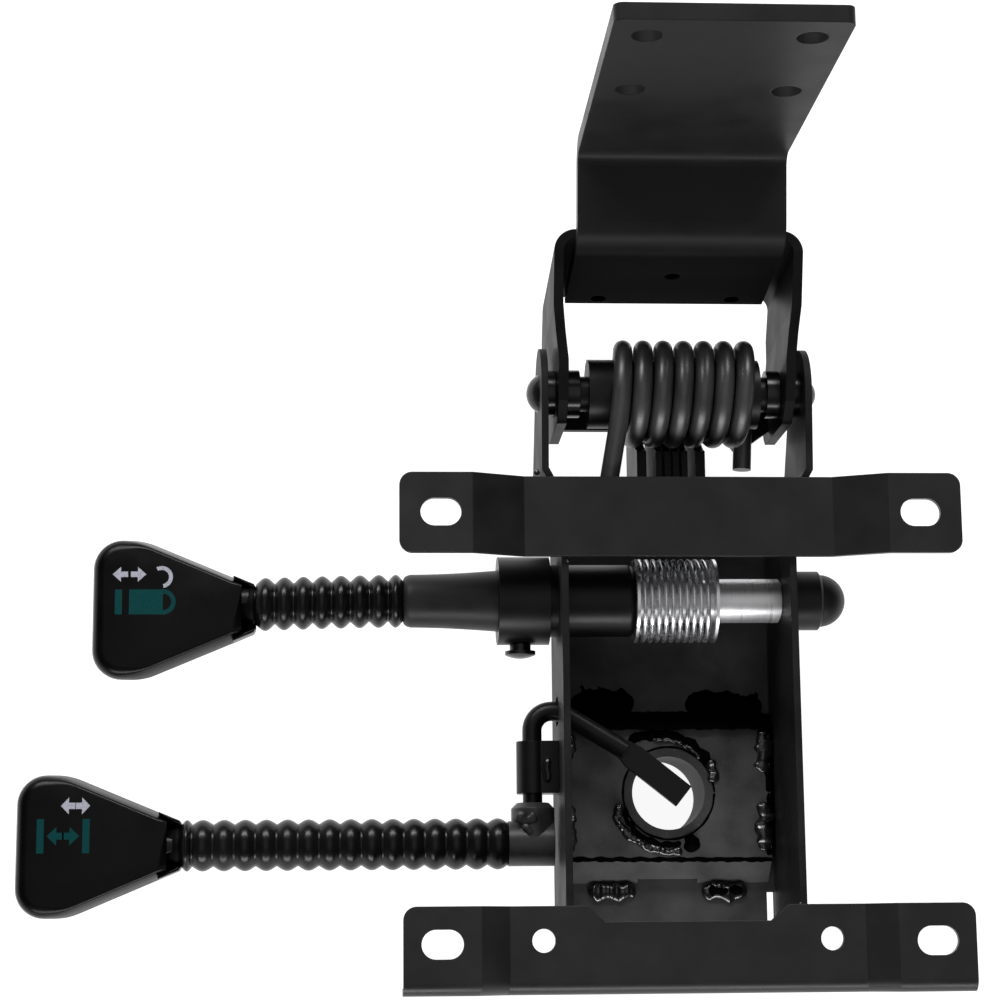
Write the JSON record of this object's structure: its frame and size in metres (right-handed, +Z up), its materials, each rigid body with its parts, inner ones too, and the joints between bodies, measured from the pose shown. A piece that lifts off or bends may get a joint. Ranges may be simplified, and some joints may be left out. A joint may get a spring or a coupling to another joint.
{
  "type": "office chair tilt mechanism",
  "caption": "Seat plate mechanism for an office chair: steel channel with seat bars, gas spring socket, sprung recline yoke with back bar, and lock and lift levers.",
  "frame": {"origin": "centre of the lower mouth of the gas spring socket", "axes": "+Z up along the gas spring, +Y to the backrest, +X to the sitter's left; the levers reach out to -X"},
  "size_m": [0.3342, 0.2963, 0.237],
  "materials": {
    "frame_paint": "satin black powder coat",
    "bar_paint": "satin black powder coat, slightly matter",
    "plate_paint": "thin black coat on stamped plates",
    "spring_steel": "black coated spring wire, satin gloss",
    "pin_steel": "blackened steel",
    "bright_steel": "ground bright",
    "zinc_wire": "zinc plated",
    "rod_steel": "black coated round bar",
    "bush_plastic": "moulded nylon",
    "cap_rubber": "matt",
    "grip_rubber": "soft satin",
    "paddle_plastic": "smooth moulded, low gloss"
  },
  "bodies": {
    "base": {"chassis_channel": "frame_paint", "gas_spring_plate": "frame_paint", "gas_spring_socket": "frame_paint", "front_mount_bar": "frame_paint", "rear_mount_bar": "frame_paint", "pivot_pin": "pin_steel", "pivot_spacer_left": "bush_plastic", "pivot_spacer_right": "bush_plastic", "pivot_collar_left": "bush_plastic", "pivot_collar_right": "bush_plastic", "spring_bush_left": "bush_plastic", "spring_bush_right": "bush_plastic", "tilt_spring": "spring_steel", "lock_collar": "frame_paint", "lock_cam_pin": "pin_steel", "lock_sleeve": "frame_paint", "lock_washer_left": "zinc_wire", "lock_spring": "zinc_wire", "shaft_end_cap": "cap_rubber", "lift_pivot_sleeve": "frame_paint", "lift_sleeve_gusset": "frame_paint"},
    "back": {"back_yoke": "frame_paint", "yoke_cross_plate": "frame_paint", "back_bar": "bar_paint", "back_bar_rivets": "pin_steel", "lock_plates": "plate_paint"},
    "lock_shaft_body": {"lock_shaft": "bright_steel", "lock_washer_right": "zinc_wire"},
    "lock_lever": {"lock_lever_rod": "rod_steel", "lock_boot": "grip_rubber", "lock_grip": "grip_rubber", "lock_paddle": "paddle_plastic"},
    "lift_lever": {"lift_rod": "rod_steel", "lift_knuckle": "grip_rubber", "lift_lever_rod": "rod_steel", "lift_grip": "grip_rubber", "lift_paddle": "paddle_plastic"}
  },
  "joints": [
    {"name": "back_recline", "type": "hinge", "parent": "base", "child": "back", "pos_m": [0, 0.1425, 0.069], "axis": [1, 0, 0], "range_deg": [-15, 0], "stiffness_Nm_per_rad": 15, "springref_deg": 20.05, "deforming": ["tilt_spring"]},
    {"name": "lock_slide", "type": "slide", "parent": "base", "child": "lock_shaft_body", "axis": [1, 0, 0], "range_m": [-0.0025, 0], "stiffness_N_per_m": 500, "springref_m": 0.004, "deforming": ["lock_spring"]},
    {"name": "lock_turn", "type": "hinge", "parent": "lock_shaft_body", "child": "lock_lever", "pos_m": [0, 0.0683, 0.056], "axis": [1, 0, 0], "range_deg": [0, 60]},
    {"name": "lift_press", "type": "hinge", "parent": "base", "child": "lift_lever", "pos_m": [-0.0512, 0, 0.052], "axis": [0, 1, 0], "range_deg": [0, 8]}
  ]
}
